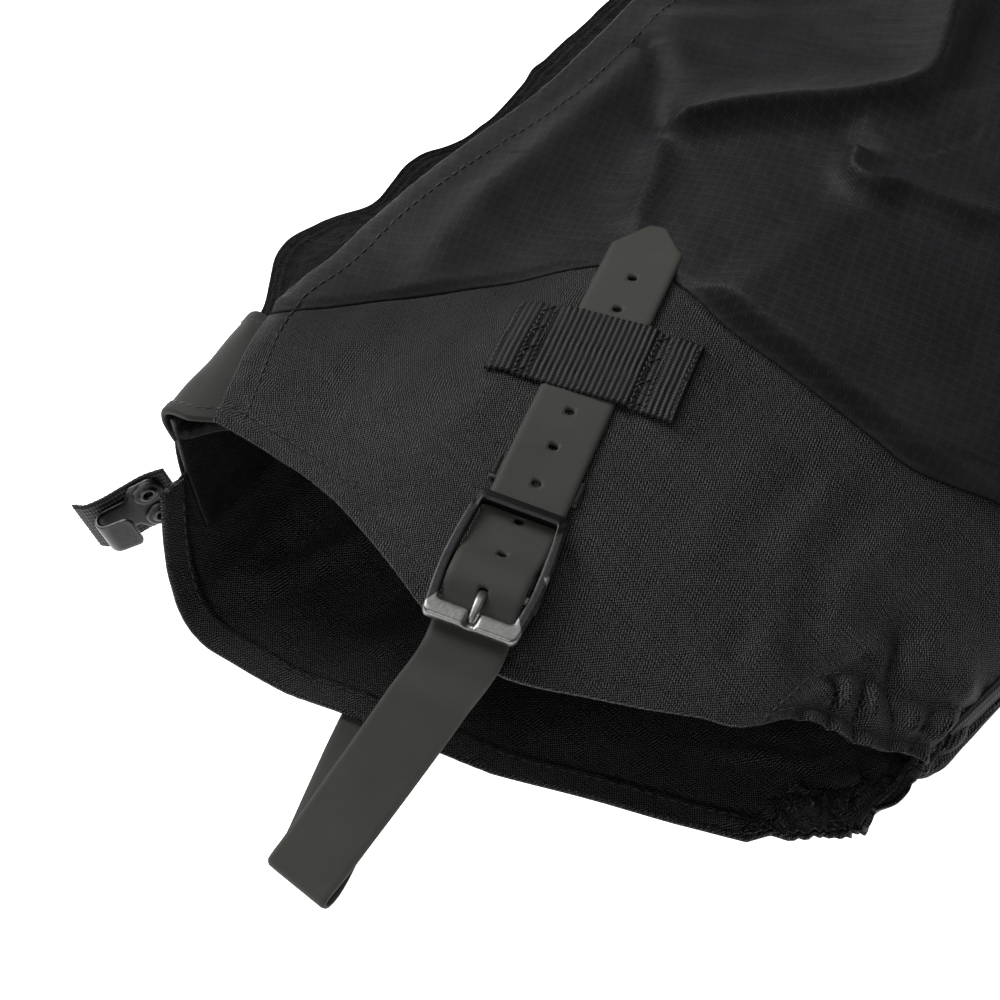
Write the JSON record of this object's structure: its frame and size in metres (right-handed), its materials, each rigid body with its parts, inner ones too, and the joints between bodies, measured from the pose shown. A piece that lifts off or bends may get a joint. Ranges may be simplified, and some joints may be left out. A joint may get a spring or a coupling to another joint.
{
  "type": "hiking gaiter",
  "caption": "Black ripstop leg gaiter lying on its side: leg tube, hook-and-loop front flap, buckled instep strap, strap keeper, gathered heel and metal lace hook.",
  "frame": {"origin": "centre of the bounding box in X and Y, on the surface the gaiter lies on", "axes": "+Y up the leg from foot to calf, -X to the shin side, +X to the heel side, +Z out of the lateral (buckle) side; the medial side lies on Z=0"},
  "size_m": [0.233, 0.4263, 0.0718],
  "materials": {
    "upper_ripstop": "light crinkly ripstop nylon with a faint sheen",
    "lower_fabric": "heavier coated ripstop twill",
    "coated_strap": "smooth matt olive-grey coated strap",
    "grosgrain": "ribbed black webbing",
    "elastic": "woven elastic",
    "loop_pile": "fuzzy loop pile",
    "hook_pile": "stiff hook pile",
    "gunmetal": "gunmetal plating, worn bright on edges"
  },
  "bodies": {
    "root": {"lateral_lower_panel": "lower_fabric", "lateral_upper_panel": "upper_ripstop", "medial_lower_panel": "lower_fabric", "medial_upper_panel": "upper_ripstop", "loop_tape": "loop_pile", "front_underflap": "upper_ripstop", "front_wall_tape": "loop_pile", "lateral_hem_facing": "lower_fabric", "medial_hem_facing": "lower_fabric", "heel_elastic": "elastic", "heel_casing": "lower_fabric", "back_seam_binding": "grosgrain", "lateral_top_casing": "upper_ripstop", "medial_top_casing": "upper_ripstop", "instep_strap": "coated_strap", "buckle_anchor_tab": "grosgrain", "strap_keeper": "grosgrain", "strap_anchor_patch": "grosgrain"},
    "front_flap": {"flap_lower_panel": "lower_fabric", "flap_upper_panel": "upper_ripstop", "hook_tape": "hook_pile", "flap_hem_facing": "lower_fabric", "flap_top_casing": "upper_ripstop", "closure_tab": "coated_strap"},
    "buckle": {"buckle_frame": "gunmetal", "buckle_bar": "gunmetal"},
    "prong": {"buckle_prong": "gunmetal"},
    "lace_hook": {"lace_hook_webbing": "grosgrain", "lace_hook_plate": "gunmetal", "lace_hook_rivets": "gunmetal"}
  },
  "joints": [
    {"name": "front_flap_fold", "type": "hinge", "parent": "root", "child": "front_flap", "pos_m": [-0.042, -0.156, 0.0625], "axis": [-0.0753, 0.995, -0.0659], "range_deg": [0, 110]},
    {"name": "lace_hook_bend", "type": "hinge", "parent": "root", "child": "lace_hook", "pos_m": [-0.0821, -0.1602, 0.033], "axis": [0, 0, 1], "range_deg": [-60, 25]},
    {"name": "buckle_rock", "type": "hinge", "parent": "root", "child": "buckle", "pos_m": [0.02467, -0.1463, 0.06622], "axis": [0.9082, 0.3949, -0.1386], "range_deg": [0, 5]},
    {"name": "prong_lift", "type": "hinge", "parent": "buckle", "child": "prong", "pos_m": [0.02467, -0.1463, 0.06622], "axis": [-0.9082, -0.3949, 0.1386], "range_deg": [0, 25]}
  ]
}
